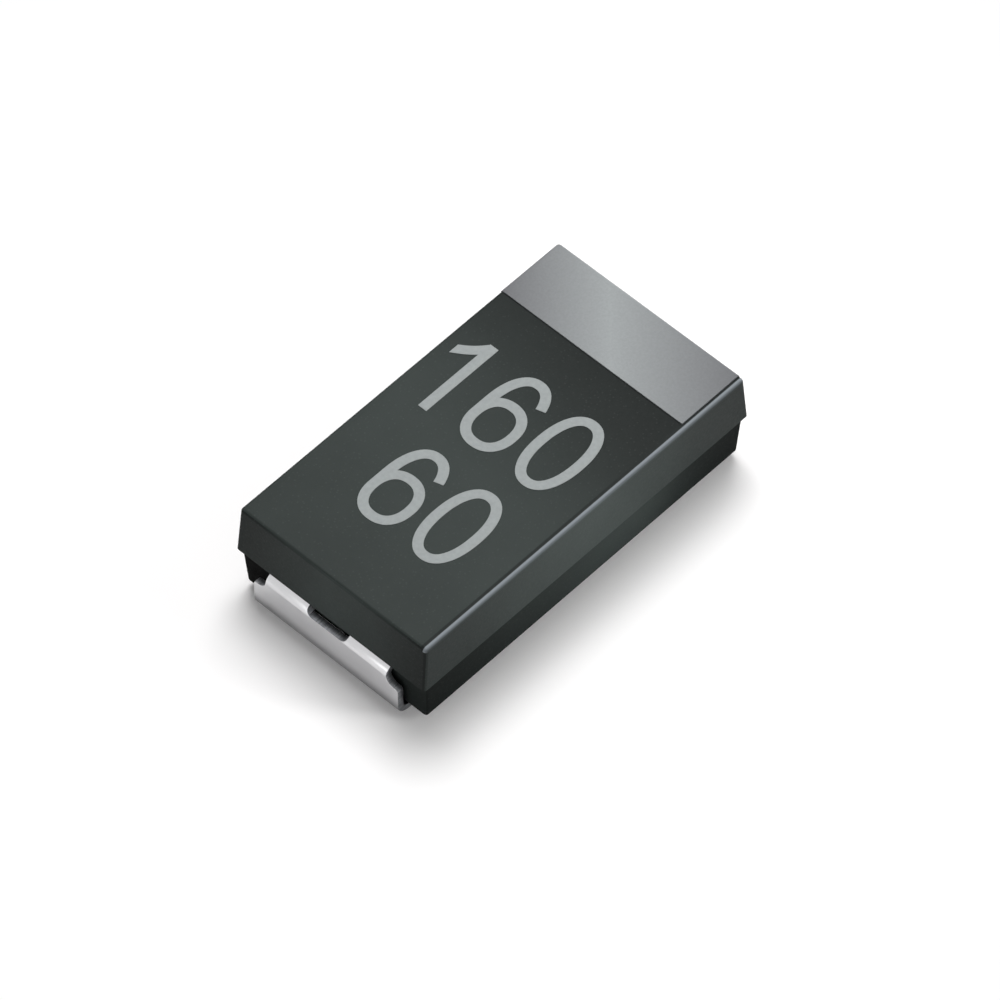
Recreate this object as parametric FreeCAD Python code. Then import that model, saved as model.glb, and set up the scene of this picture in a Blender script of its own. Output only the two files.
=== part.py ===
# Moulded tantalum chip capacitor with two formed terminals, in millimetres.
#
# Frame: the origin is on the circuit board, under the middle of the case. +Z points up, and +X points
# to the anode, the end under the grey band. Y runs across the case.
#
# A strip lead frame leaves each end of the case at the parting line, bends down and folds under the
# case as a foot. Inside, a sintered tantalum slug stands on its riser wire, wrapped in its cathode
# layers. The wire is welded to the anode's strip, and the layers are glued to the cathode's strip.
import FreeCAD, Part
import math
import os

from FreeCAD import Vector

# Case
overall_length = 6.00       # over the outsides of both terminals
case_width = 3.20           # at the parting line
stand_off = 0.09            # from the board to the underside
lower_height = 0.695        # from the underside to the parting line
upper_height = 0.765        # from the parting line to the top
end_step = 0.06             # overhang of the upper half past the lower half at each end
side_step = 0.03            # the same along each side
upper_end_draft = 5.0       # degrees
upper_side_draft = 2.0      # degrees
lower_draft = 3.5           # degrees, on the ends and the sides
mould_radius = 0.05         # on every outer edge of the case away from the parting line

# Strip that the terminals are formed from
strip = 0.10                # thickness
arm_width = 0.685           # each of the two arms that leave the case
slot_width = 0.68           # between the arms
shoulder = 0.20             # from an arm's outer edge to the plate's edge
end_clearance = 0.04        # inside radius of the upper bend, and gap to the end of the case
foot_bend = 0.10            # inside radius of the lower bend
foot_length = 1.30          # from the outside of the terminal
foot_clearance = 0.02       # above the foot, to the roof of its recess
foot_corner = 0.12          # radius in plan
slot_depth = 0.115          # below the parting line
slot_corner = 0.10          # radius at the bottom of the slot
neck_depth = 0.25           # from the parting line down to the plate's shoulders
flare_radius = 0.13         # where an arm widens into the plate
plate_corner = 0.05         # radius at the plate's shoulders
recess_margin = 0.06        # round the foot, in the underside of the case

# Ends of the strips inside the case
arm_embedment = 0.24        # from the end of the case to the web that joins the arms
web_length = 0.12
tongue_root_radius = 0.08   # between the web and the tongue
anode_tongue_length = 0.45
anode_tongue_width = 0.90
cathode_tongue_length = 1.30
cathode_tongue_width = 1.60
jog_run = 0.30              # length over which the cathode's strip steps down
jog_bend = 0.06             # inside radius of both bends of that step
jog_clearance = 0.08        # from the foot of that step to the silver

# Slug, wire and cathode layers. Along and across, the slug fills what the strips and the walls leave.
slug_height = 0.62
side_wall = 0.37            # epoxy beside the silver, at the parting line
slug_radius = 0.05          # on the four edges that run along the wire
riser_radius = 0.12
riser_cover = 1.30          # slug behind the buried end of the wire
riser_free = 0.59           # wire between the slug and the anode's tongue
riser_tail = 0.07           # wire past the weld
washer_margin = 0.07        # from the washer to the slug's edges
washer_thickness = 0.08
dioxide_thickness = 0.03
graphite_thickness = 0.02
silver_thickness = 0.03
graphite_stop = 0.10        # from the slug's anode face back to the graphite's rim
silver_stop = 0.26          # the same to the silver's rim
adhesive_thickness = 0.035
adhesive_margin = 0.10      # from the tongue's edges to the adhesive
adhesive_radius = 0.10      # at its corners in plan

# Weld between the wire and the anode's tongue
weld_gap = 0.02             # metal under the wire
weld_length = 0.24
weld_margin = 0.05          # from the tongue's inner end
weld_side = 0.04            # metal on each side of the wire at the top of the nugget
weld_spread = 0.05          # further out on each side at its foot
weld_height = 0.10

# Grey band printed on the top at the anode
band_length = 1.05          # along the top face
band_ink = 0.02
band_margin = 0.035         # bare strip between the band and the -Y edge

# Levels
parting_z = stand_off + lower_height
top_z = parting_z + upper_height
strip_top_z = parting_z
strip_mid_z = strip_top_z - strip / 2
riser_z = strip_top_z + weld_gap + riser_radius
layers = dioxide_thickness + graphite_thickness + silver_thickness
washer_radius = slug_height / 2 - washer_margin
silver_under_z = riser_z - slug_height / 2 - layers
tongue_top_z = silver_under_z - adhesive_thickness

# Stations along X. Those of the strips are at the +X end, and the cathode's strip is mirrored.
outside_x = overall_length / 2
plate_mid_x = outside_x - strip / 2
lower_end_x = outside_x - strip - end_clearance
upper_end_x = lower_end_x + end_step
web_x = lower_end_x - arm_embedment
tongue_root_x = web_x - web_length
jog_foot_x = tongue_root_x - jog_run
cathode_tongue_x = jog_foot_x - cathode_tongue_length
anode_tongue_x = tongue_root_x - anode_tongue_length
slug_cathode_x = jog_clearance + layers - jog_foot_x
slug_anode_x = anode_tongue_x - riser_free
weld_x = anode_tongue_x + weld_margin
riser_end_x = weld_x + weld_length + riser_tail

# Widths across Y
neck_width = 2 * arm_width + slot_width
plate_width = neck_width + 2 * shoulder
slug_width = case_width - 2 * side_wall - 2 * layers

far = 2 * overall_length    # longer than anything, for cutting tools


def block(x_low, x_high, width, z_low, z_high):
    """Box centred on the XZ plane."""
    return Part.makeBox(x_high - x_low, width, z_high - z_low, Vector(x_low, -width / 2, z_low))


def rounded(shape, radius, chosen):
    """The shape with every edge for which chosen(edge) is true rounded."""
    return shape.makeFillet(radius, [edge for edge in shape.Edges if chosen(edge)])


def runs_along(axis, **place):
    """Test for straight edges along an axis at a place, such as y=1.0, z=0.5. A y is met on both sides."""
    def test(edge):
        start = edge.firstVertex().Point
        end = edge.lastVertex().Point
        along = end - start
        if abs(abs(along.dot(axis)) - along.Length) > 1e-6:
            return False
        middle = (start + end) / 2
        found = {"x": middle.x, "y": abs(middle.y), "z": middle.z}
        return all(abs(found[name] - place[name]) < 1e-6 for name in place)
    return test


def inset(height, draft):
    """How far a drafted wall leans in over a height."""
    return height * math.tan(math.radians(draft))


def mould_half(end_x, side_y, height, end_inset, side_inset):
    """Tapered half of the case, standing on its parting face with its outer edges rounded."""
    wedge = Part.makeWedge(
        -end_x, 0, -side_y, side_inset - side_y, end_inset - end_x,
        end_x, height, side_y, side_y - side_inset, end_x - end_inset,
    )
    wedge.rotate(Vector(0, 0, 0), Vector(1, 0, 0), 90)

    def off_parting(edge):
        return any(vertex.Z > 1e-6 for vertex in edge.Vertexes)

    return rounded(wedge, mould_radius, off_parting)


def upper_half():
    end_inset = inset(upper_height, upper_end_draft)
    side_inset = inset(upper_height, upper_side_draft)
    half = mould_half(upper_end_x, case_width / 2, upper_height, end_inset, side_inset)
    return half.translated(Vector(0, 0, parting_z))


def lower_half():
    draft_inset = inset(lower_height, lower_draft)
    half = mould_half(lower_end_x, case_width / 2 - side_step, lower_height, draft_inset, draft_inset)
    half.rotate(Vector(0, 0, 0), Vector(1, 0, 0), 180)
    return half.translated(Vector(0, 0, parting_z))


def line(start, end):
    return Part.LineSegment(start, end).toShape()


def left_of(direction):
    """Direction in the XZ plane turned a quarter turn towards its left."""
    return Vector(-direction.z, 0, direction.x)


def strip_side(points, inside_radii, offset):
    """Edges of one face of a bent strip, at an offset from its middle line, and its two end points."""
    edges = []
    direction = (points[1] - points[0]).normalize()
    first = points[0] + left_of(direction) * offset
    start = first
    for corner, after, inside in zip(points[1:], points[2:], inside_radii):
        next_direction = (after - corner).normalize()
        middle_radius = inside + strip / 2
        setback = middle_radius * math.tan(direction.getAngle(next_direction) / 2)
        towards = left_of(direction)
        if towards.dot(next_direction) < 0:
            towards = towards * -1
        centre = corner - direction * setback + towards * middle_radius
        bend_start = corner - direction * setback + left_of(direction) * offset
        bend_end = corner + next_direction * setback + left_of(next_direction) * offset
        bend_middle = centre + (corner - centre).normalize() * (bend_start - centre).Length
        edges.append(line(start, bend_start))
        edges.append(Part.Arc(bend_start, bend_middle, bend_end).toShape())
        start = bend_end
        direction = next_direction
    last = points[-1] + left_of(direction) * offset
    edges.append(line(start, last))
    return edges, first, last


def bent_strip(middle_line, inside_radii, width):
    """Strip of sheet along a middle line of (x, z) corners, with an inside radius at each bend."""
    points = [Vector(x, -width / 2, z) for x, z in middle_line]
    left_edges, left_first, left_last = strip_side(points, inside_radii, strip / 2)
    right_edges, right_first, right_last = strip_side(points, inside_radii, -strip / 2)
    ends = [line(left_first, right_first), line(left_last, right_last)]
    outline = Part.Wire(Part.__sortEdges__(left_edges + right_edges + ends))
    return Part.Face(outline).extrude(Vector(0, width, 0))


def front_outline():
    """Prism along X with the terminal's outline seen from its end: plate, flared neck and slot."""
    shoulder_z = parting_z - neck_depth
    plate = block(0, far, plate_width, -strip, shoulder_z)
    neck = block(0, far, neck_width, -strip, parting_z + strip)
    outline = plate.fuse(neck).removeSplitter()
    along_x = Vector(1, 0, 0)
    flare = min(flare_radius, 0.7 * shoulder)
    outline = rounded(outline, flare, runs_along(along_x, y=neck_width / 2, z=shoulder_z))
    corner = min(plate_corner, 0.25 * shoulder)
    outline = rounded(outline, corner, runs_along(along_x, y=plate_width / 2, z=shoulder_z))
    slot_z = parting_z - slot_depth
    slot = block(0, far, slot_width, slot_z, parting_z + 2 * strip)
    slot = rounded(slot, slot_corner, runs_along(along_x, y=slot_width / 2, z=slot_z))
    return outline.cut(slot)


def outer_strip():
    """Arms, plate and foot of the +X terminal, from the web outwards."""
    foot_end_x = outside_x - foot_length
    middle_line = [
        (web_x, strip_mid_z),
        (plate_mid_x, strip_mid_z),
        (plate_mid_x, strip / 2),
        (foot_end_x, strip / 2),
    ]
    formed = bent_strip(middle_line, [end_clearance, foot_bend], plate_width)
    foot_corners = runs_along(Vector(0, 0, 1), x=foot_end_x, y=plate_width / 2)
    return rounded(formed, foot_corner, foot_corners).common(front_outline())


def inner_strip(middle_line, inside_radii, tongue_width):
    """Web and tongue of a terminal inside the case, whose corners in plan are rounded."""
    tongue_end_x = middle_line[-1][0]
    web = block(tongue_root_x, web_x, neck_width, 0, top_z)
    tongue = block(tongue_end_x, tongue_root_x, tongue_width, 0, top_z)
    plan = web.fuse(tongue).removeSplitter()
    root_radius = min(tongue_root_radius, 0.4 * (neck_width - tongue_width))
    roots = runs_along(Vector(0, 0, 1), x=tongue_root_x, y=tongue_width / 2)
    plan = rounded(plan, root_radius, roots)
    return bent_strip(middle_line, inside_radii, neck_width).common(plan)


def to_cathode_end(shape):
    """Mirror a shape from the +X end to the -X end."""
    return shape.mirror(Vector(0, 0, 0), Vector(1, 0, 0))


def anode_terminal():
    middle_line = [(web_x, strip_mid_z), (anode_tongue_x, strip_mid_z)]
    inner = inner_strip(middle_line, [], anode_tongue_width)
    return outer_strip().fuse(inner).removeSplitter()


def cathode_terminal():
    tongue_mid_z = tongue_top_z - strip / 2
    middle_line = [
        (web_x, strip_mid_z),
        (tongue_root_x, strip_mid_z),
        (jog_foot_x, tongue_mid_z),
        (cathode_tongue_x, tongue_mid_z),
    ]
    inner = inner_strip(middle_line, [jog_bend, jog_bend], cathode_tongue_width)
    return to_cathode_end(outer_strip().fuse(inner).removeSplitter())


def pellet(growth):
    """The slug's envelope, grown on every side."""
    body = block(
        slug_cathode_x - growth,
        slug_anode_x + growth,
        slug_width + 2 * growth,
        riser_z - slug_height / 2 - growth,
        riser_z + slug_height / 2 + growth,
    )
    return rounded(body, slug_radius + growth, runs_along(Vector(1, 0, 0)))


def rod(radius, x_low, x_high):
    """Cylinder on the riser wire's axis."""
    return Part.makeCylinder(radius, x_high - x_low, Vector(x_low, 0, riser_z), Vector(1, 0, 0))


def riser_wire():
    return rod(riser_radius, slug_cathode_x + riser_cover, riser_end_x)


def anode_slug():
    return pellet(0).cut(riser_wire())


def insulating_washer():
    disc = rod(washer_radius, slug_anode_x, slug_anode_x + washer_thickness)
    return disc.cut(riser_wire())


def layer(inside, thickness, stop):
    """Coat round the pellet, open at the anode end from a rim that lies stop behind its face."""
    coat = pellet(inside + thickness).cut(pellet(inside))
    return coat.common(block(-far, slug_anode_x - stop, far, 0, far))


def dioxide_coat():
    """Coat all round the slug, with a hole where the washer sits."""
    coat = pellet(dioxide_thickness).cut(pellet(0))
    return coat.cut(rod(washer_radius, slug_anode_x - dioxide_thickness, slug_anode_x + far))


def graphite_coat():
    return layer(dioxide_thickness, graphite_thickness, graphite_stop)


def silver_coat():
    return layer(dioxide_thickness + graphite_thickness, silver_thickness, silver_stop)


def silver_adhesive():
    """Pad between the cathode's tongue and the underside of the silver."""
    pad = block(
        slug_cathode_x + adhesive_margin,
        -cathode_tongue_x - adhesive_margin,
        cathode_tongue_width - 2 * adhesive_margin,
        tongue_top_z,
        silver_under_z,
    )
    return rounded(pad, adhesive_radius, runs_along(Vector(0, 0, 1)))


def weld_bead():
    """Nugget that joins the wire to the anode's tongue."""
    top_y = riser_radius + weld_side
    foot_y = top_y + weld_spread
    corners = [(-foot_y, 0), (foot_y, 0), (top_y, weld_height), (-top_y, weld_height), (-foot_y, 0)]
    section = Part.makePolygon([Vector(weld_x, y, strip_top_z + z) for y, z in corners])
    return Part.Face(section).extrude(Vector(weld_length, 0, 0)).cut(riser_wire())


def polarity_band():
    """Ink film on the top and a little way down the rounded edges at the anode end."""
    top_end_x = upper_end_x - inset(upper_height, upper_end_draft)
    top_side_y = case_width / 2 - inset(upper_height, upper_side_draft)
    printed_y = mould_radius + band_margin - top_side_y
    printed_z = top_z - mould_radius / 2
    window = Part.makeBox(far, far, far, Vector(top_end_x - band_length, printed_y, printed_z))
    upper = upper_half()
    return upper.translated(Vector(0, 0, band_ink)).cut(upper).common(window)


def moulded_case(inner_pieces):
    """Both halves of the moulding with their foot recesses, cast round the inner pieces."""
    case = upper_half().fuse(lower_half()).removeSplitter()
    roof_z = strip + foot_clearance
    recess_width = plate_width + 2 * recess_margin
    recess = block(outside_x - foot_length - recess_margin, far, recess_width, -strip, roof_z)
    case = case.cut([recess, to_cathode_end(recess)])
    for piece in inner_pieces:
        case = case.cut(piece)
    return case.removeSplitter()


def build():
    """Every piece by name. The case comes last because it is cast round the others."""
    pieces = {
        "anode_slug": anode_slug(),
        "riser_wire": riser_wire(),
        "insulating_washer": insulating_washer(),
        "dioxide_coat": dioxide_coat(),
        "graphite_coat": graphite_coat(),
        "silver_coat": silver_coat(),
        "silver_adhesive": silver_adhesive(),
        "weld_bead": weld_bead(),
        "cathode_terminal": cathode_terminal(),
        "anode_terminal": anode_terminal(),
    }
    case = moulded_case(pieces.values())
    pieces["moulded_case"] = case
    pieces["polarity_band"] = polarity_band()
    return pieces


os.makedirs("parts", exist_ok=True)
for name, shape in build().items():
    shape.exportStep("parts/" + name + ".step")
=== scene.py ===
import math

import bmesh
import bpy
from bpy.props import FloatProperty, FloatVectorProperty, PointerProperty
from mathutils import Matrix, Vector


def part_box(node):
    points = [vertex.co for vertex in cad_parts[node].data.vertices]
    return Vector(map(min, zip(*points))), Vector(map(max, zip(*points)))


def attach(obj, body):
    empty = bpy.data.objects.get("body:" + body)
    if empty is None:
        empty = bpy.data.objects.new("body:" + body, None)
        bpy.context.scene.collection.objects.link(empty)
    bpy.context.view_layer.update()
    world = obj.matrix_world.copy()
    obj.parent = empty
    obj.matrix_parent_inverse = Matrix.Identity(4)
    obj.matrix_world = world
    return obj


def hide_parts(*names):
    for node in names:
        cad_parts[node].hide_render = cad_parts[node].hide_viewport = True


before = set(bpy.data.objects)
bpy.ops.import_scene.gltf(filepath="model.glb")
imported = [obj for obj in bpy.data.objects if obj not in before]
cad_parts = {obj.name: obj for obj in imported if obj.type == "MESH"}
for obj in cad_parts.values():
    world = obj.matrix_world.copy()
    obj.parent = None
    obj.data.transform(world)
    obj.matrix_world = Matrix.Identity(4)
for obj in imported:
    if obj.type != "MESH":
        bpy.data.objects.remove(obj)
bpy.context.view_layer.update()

bl_info = {
    "name": "Moulded chip capacitor",
    "version": (1, 0, 0),
    "blender": (4, 5, 0),
    "location": "3D View > Sidebar > Capacitor",
    "description": "Dresses the packed capacitor: case, terminals, printed band and numerals",
    "category": "Object",
}

MM = 0.001
CASE_LOW, CASE_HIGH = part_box("moulded_case")
STRIP_LOW, STRIP_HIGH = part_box("anode_terminal")
TONGUE_END = -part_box("cathode_terminal")[1].x
PARTING = STRIP_HIGH.z
MERGING = 0.0002 * MM    # corners closer than this are one

# Settings of a node that mixes or multiplies two colours
COLOURS = {"out": 2, "data_type": "RGBA"}
MULTIPLIED = {"out": 2, "data_type": "RGBA", "blend_type": "MULTIPLY"}


def linear(code):
    """An sRGB hex colour as the linear values that sockets take."""
    values = []
    for place in (1, 3, 5):
        value = int(code[place:place + 2], 16) / 255
        values.append(value / 12.92 if value <= 0.04045 else ((value + 0.055) / 1.055) ** 2.4)
    return values


def opaque(code):
    return (*linear(code), 1.0)


def per(size_mm):
    """Texture scale at which a pattern repeats about once in a size given in millimetres."""
    return 1 / (size_mm * MM)


def add(tree, kind, inputs=None, out=0, stops=(), **settings):
    """Adds a node, applies its settings and a colour ramp's (place, colour) stops, links or fills
    its inputs, and returns one of its outputs."""
    made = tree.nodes.new(kind)
    for name, value in settings.items():
        setattr(made, name, value)
    for number, (place, colour) in enumerate(stops):
        elements = made.color_ramp.elements
        element = elements[number] if number < len(elements) else elements.new(1.0)
        element.position = place
        element.color = colour
    for key, value in (inputs or {}).items():
        for piece in value if isinstance(value, list) else [value]:
            if isinstance(piece, bpy.types.NodeSocket):
                tree.links.new(piece, made.inputs[key])
            else:
                made.inputs[key].default_value = piece
    return made.outputs[out] if made.outputs else None


# Sizes and colours that a user would change

def length(label, meaning, millimetres):
    return FloatProperty(name=label, description=meaning, default=millimetres * MM, unit="LENGTH")


def paint(label, meaning, code):
    return FloatVectorProperty(
        name=label, description=meaning, default=linear(code), subtype="COLOR", min=0, max=1)


def brightness(label, meaning, value):
    return FloatProperty(name=label, description=meaning, default=value, min=0)


class CaseSettings(bpy.types.PropertyGroup):
    compound: paint("Compound", "Colour of the epoxy moulding compound", "#464d4b")
    grain: length("Mould grain", "Size of the grain that the eroded mould leaves", 0.035)


class TerminalSettings(bpy.types.PropertyGroup):
    thickness: length("Strip thickness", "Thickness of the strip", 0.10)
    arm_width: length("Arm width", "Width of each arm that leaves the case", 0.685)
    slot_width: length("Slot width", "Width of the slot between the arms", 0.68)
    slot_depth: length("Slot depth", "Depth of the slot below the parting line", 0.115)
    slot_corner: length("Slot corner", "Radius at the bottom of the slot", 0.10)
    neck_depth: length("Neck depth", "From the parting line down to the plate's shoulders", 0.25)
    flare: length("Flare", "Radius where an arm widens into the plate", 0.13)
    shoulder_corner: length("Shoulder corner", "Radius at the plate's shoulders", 0.05)
    upper_bend: length("Upper bend", "Radius of the upper bend at the middle of the strip", 0.09)
    lower_bend: length("Lower bend", "Radius of the lower bend at the middle of the strip", 0.15)
    foot_length: length(
        "Foot length", "From the outside of the terminal to the end of the foot", 1.30)
    foot_corner: length("Foot corner", "Radius in plan at the end of the foot", 0.12)
    web_station: length(
        "Web station", "Outer side of the web inside the case, from the middle", 2.62)
    root_station: length("Root station", "Inner side of the web, from the middle", 2.50)
    jog_run: length("Jog run", "Length over which the cathode's strip steps down", 0.30)
    jog_drop: length("Jog drop", "How far it steps down", 0.285)
    jog_bend: length("Jog bend", "Radius of that step's bends at the middle of the strip", 0.11)
    root_radius: length("Root radius", "Radius between the web and the tongue", 0.08)
    anode_tongue: length("Anode tongue", "Width of the tongue under the wire", 0.90)
    cathode_tongue: length("Cathode tongue", "Width of the tongue under the slug", 1.60)
    burr: length("Edge rounding", "Rounding that plating gives the cut edges", 0.009)
    tin: paint("Tin", "Colour of the tin plating", "#f8f8fa")


class PrintSettings(bpy.types.PropertyGroup):
    ink: length("Ink", "Thickness of the printed ink", 0.006)
    cap_height: length("Cap height", "Height of the numerals", 1.30)
    overshoot: length("Overshoot", "How far round numerals pass the lines above and below", 0.015)
    digit_width: length("Digit width", "Width of a round numeral", 0.75)
    bowl_height: length("Bowl height", "Height of the six's bowl", 0.86)
    stroke: length("Stroke", "Width of the numerals' strokes", 0.138)
    squareness: FloatProperty(
        name="Squareness", description="Exponent of the round strokes, 2 for a true ellipse",
        default=2.25, min=1,
    )
    advance: length("Advance", "From one round numeral to the next", 0.892)
    line_pitch: length("Line pitch", "From one line of print to the next", 1.675)
    indent: length("Indent", "How far the lower line stands to the left", 0.145)
    baseline: length(
        "Baseline", "Foot of the upper line, from the middle of the case towards the band", -0.205)
    margin: length("Margin", "Middle of the upper line's six, across the case", -0.195)
    numeral: paint("Numerals", "Colour of the numerals' ink", "#949999")
    # The band's pale and deep inks are the light and the dark of a painted sheen
    band_painted_sheen: paint("Band, pale", "The band's ink where its flakes lie flat", "#929697")
    band_beside_sheen: paint("Band, deep", "The band's ink where they stand", "#646568")


class StageSettings(bpy.types.PropertyGroup):
    overhead: brightness("Overhead", "Radiance of the broad soft light above and behind", 8.4)
    panel: brightness("Side panel", "Radiance of the tall panel along the right side", 9.0)
    fill: brightness("Fill", "Radiance of the soft light on the near end", 1.0)
    sky: brightness("Sky", "Strength of the plain surroundings", 0.25)


# Finishes

def looked_at(tree):
    """1 where the camera, a reflection or the view through glass meets it, and 0 for light."""
    rays = add(tree, "ShaderNodeLightPath").node.outputs
    seen = add(tree, "ShaderNodeMath", {0: rays["Is Camera Ray"], 1: rays["Is Glossy Ray"]},
               operation="MAXIMUM")
    return add(tree, "ShaderNodeMath", {0: seen, 1: rays["Is Transmission Ray"]},
               operation="MAXIMUM")


def placed(name, data):
    """A new object in the scene."""
    made = bpy.data.objects.new(name, data)
    bpy.context.scene.collection.objects.link(made)
    return made


def material(name):
    made = bpy.data.materials.new(name)
    made.use_nodes = True
    made.node_tree.nodes.clear()
    return made, made.node_tree


def moulding_compound(settings):
    """Silica-filled epoxy from an eroded steel mould. The eye gets a dark, even, satin face with a
    fine grain, painted light and shade on each face, a painted highlight and a painted line of
    shade along one rim of the top, and pale specks of filler."""
    made, tree = material("moulded_epoxy_compound")
    place = add(tree, "ShaderNodeTexCoord", out="Object")
    axes = add(tree, "ShaderNodeSeparateXYZ", {0: place}).node
    normals = add(tree, "ShaderNodeNewGeometry").node.outputs
    facing = add(tree, "ShaderNodeSeparateXYZ", {0: normals["True Normal"]}).node

    # Painted light and shade on every face, lighter in the middle and darker towards the ends:
    # along the case on the top, where it slants, along the sides, and across the ends, with the top
    # painted darker towards the band.
    # Each half of the mould has its own texture: the lower one leaves the faces rougher, and they
    # are painted darker.
    slanted = add(tree, "ShaderNodeVectorMath", {0: place, 1: (1.0, -0.28, 0.0)}, out="Value",
                  operation="DOT_PRODUCT")
    slanted = add(tree, "ShaderNodeMapRange", {
        "Value": slanted, "From Min": CASE_LOW.x, "From Max": CASE_HIGH.x})
    along = add(tree, "ShaderNodeMapRange", {
        "Value": axes.outputs["X"], "From Min": CASE_LOW.x, "From Max": CASE_HIGH.x})
    across = add(tree, "ShaderNodeMapRange", {
        "Value": axes.outputs["Y"], "From Min": CASE_LOW.y, "From Max": CASE_HIGH.y})
    painted_face_shades = {}
    for face, run, levels in (
            ("top", slanted, ((0.0, 0.50), (0.42, 0.60), (0.62, 0.42), (0.82, 0.22), (1.0, 0.22))),
            ("upper side", along, (
                (0.0, 0.42), (0.2, 0.56), (0.37, 0.80), (0.5, 0.92), (0.65, 0.79), (0.8, 0.52),
                (1.0, 0.29))),
            ("lower side", along, (
                (0.0, 0.13), (0.35, 0.41), (0.65, 0.70), (0.8, 0.33), (1.0, 0.09))),
            ("upper end", across, (
                (0.0, 0.20), (0.45, 0.71), (0.65, 0.58), (0.8, 0.41), (1.0, 0.24))),
            ("lower end", across, (
                (0.0, 0.24), (0.35, 0.50), (0.5, 1.00), (0.65, 0.50), (0.85, 0.06), (1.0, 0.03)))):
        painted_face_shades[face] = add(tree, "ShaderNodeValToRGB", {"Fac": run}, stops=[
            (spot, (level, level, level, 1.0)) for spot, level in levels])
        painted_face_shades[face].node.color_ramp.interpolation = "CARDINAL"
    upper = add(tree, "ShaderNodeMath", {0: axes.outputs["Z"], 1: PARTING - 0.001 * MM},
                operation="GREATER_THAN")
    is_end = add(tree, "ShaderNodeMath", {0: facing.outputs["X"]}, operation="ABSOLUTE")
    is_end = add(tree, "ShaderNodeMath", {0: is_end, 1: 0.7}, operation="GREATER_THAN")
    is_top = add(tree, "ShaderNodeMath", {0: facing.outputs["Z"], 1: 0.7}, operation="GREATER_THAN")
    sides, ends = (add(tree, "ShaderNodeMix", {
        0: upper, 6: painted_face_shades["lower " + face], 7: painted_face_shades["upper " + face]}, **COLOURS)
        for face in ("side", "end"))
    painted_shade_and_cloud = add(tree, "ShaderNodeMix", {0: is_end, 6: sides, 7: ends}, **COLOURS)
    painted_shade_and_cloud = add(tree, "ShaderNodeMix", {0: is_top, 6: painted_shade_and_cloud, 7: painted_face_shades["top"]}, **COLOURS)

    # Faint clouds where the compound flowed
    cloud = add(tree, "ShaderNodeTexNoise", {"Vector": place, "Scale": per(0.9), "Detail": 3.0})
    cloud = add(tree, "ShaderNodeMapRange", {
        "Value": cloud, "From Min": 0.3, "From Max": 0.7, "To Min": 0.95, "To Max": 1.05})
    painted_shade_and_cloud = add(tree, "ShaderNodeMix", {0: 1.0, 6: painted_shade_and_cloud, 7: cloud}, **MULTIPLIED)
    colour = (*settings.compound, 1.0)
    colour = add(tree, "ShaderNodeMix", {0: 1.0, 6: colour, 7: painted_shade_and_cloud}, **MULTIPLIED)

    # Filler specks, 0.01 mm in the real compound and drawn at 0.02 mm so that they show
    speck = add(tree, "ShaderNodeTexVoronoi", {"Vector": place, "Scale": per(0.06)})
    speck = add(tree, "ShaderNodeMapRange", {
        "Value": speck, "From Min": 0.10, "From Max": 0.25, "To Min": 0.03, "To Max": 0.0})
    colour = add(tree, "ShaderNodeMix", {0: speck, 6: colour, 7: opaque("#8e9492")}, **COLOURS)

    # One long rim of the top gets a painted highlight, beside a thin painted line of shade
    shade_line_starts, highlight_ends = CASE_LOW.y + 0.14 * MM, CASE_LOW.y + 0.02 * MM
    rim = add(tree, "ShaderNodeMapRange", {
        "Value": axes.outputs["Y"], "From Min": shade_line_starts, "From Max": highlight_ends})
    rounding_starts = CASE_HIGH.z - 0.06 * MM
    high = add(tree, "ShaderNodeMath", {0: axes.outputs["Z"], 1: rounding_starts},
               operation="GREATER_THAN")
    painted_shade_line = add(tree, "ShaderNodeValToRGB", {"Fac": rim}, stops=[
        (0.05, opaque("#000000")), (0.20, opaque("#ffffff")), (0.42, opaque("#ffffff")),
        (0.50, opaque("#000000"))])
    painted_shade_line = add(tree, "ShaderNodeMath", {0: painted_shade_line, 1: high}, operation="MULTIPLY")
    colour = add(tree, "ShaderNodeMix", {0: painted_shade_line, 6: colour, 7: opaque("#202423")}, **COLOURS)
    painted_highlight = add(tree, "ShaderNodeValToRGB", {"Fac": rim}, stops=[
        (0.45, opaque("#000000")), (0.54, opaque("#ffffff")), (0.70, opaque("#f0f0f0")),
        (0.97, opaque("#000000"))])
    painted_highlight = add(tree, "ShaderNodeMath", {0: painted_highlight, 1: high}, operation="MULTIPLY")
    colour = add(tree, "ShaderNodeMix", {0: painted_highlight, 6: colour, 7: opaque("#858b90")}, **COLOURS)

    # Eroded-mould grain, about 0.02 mm and drawn at 0.035 mm
    grain = add(tree, "ShaderNodeTexNoise", {
        "Vector": place, "Scale": 1 / settings.grain, "Detail": 2.0, "Roughness": 0.6})
    normal = add(tree, "ShaderNodeBump", {
        "Strength": 0.35, "Distance": 0.004 * MM, "Height": grain})
    rough = add(tree, "ShaderNodeMapRange", {
        "Value": grain, "From Min": 0.3, "From Max": 0.7, "To Min": 0.42, "To Max": 0.54})
    coarser = add(tree, "ShaderNodeMapRange", {"Value": upper, "To Min": 0.4, "To Max": 0.0})
    rough = add(tree, "ShaderNodeMath", {0: rough, 1: coarser}, operation="ADD")
    shader = add(tree, "ShaderNodeBsdfPrincipled", {
        "Base Color": colour, "Roughness": rough, "IOR": 1.5, "Specular IOR Level": 0.05,
        "Normal": normal})
    add(tree, "ShaderNodeOutputMaterial", {"Surface": shader})
    return made


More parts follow.
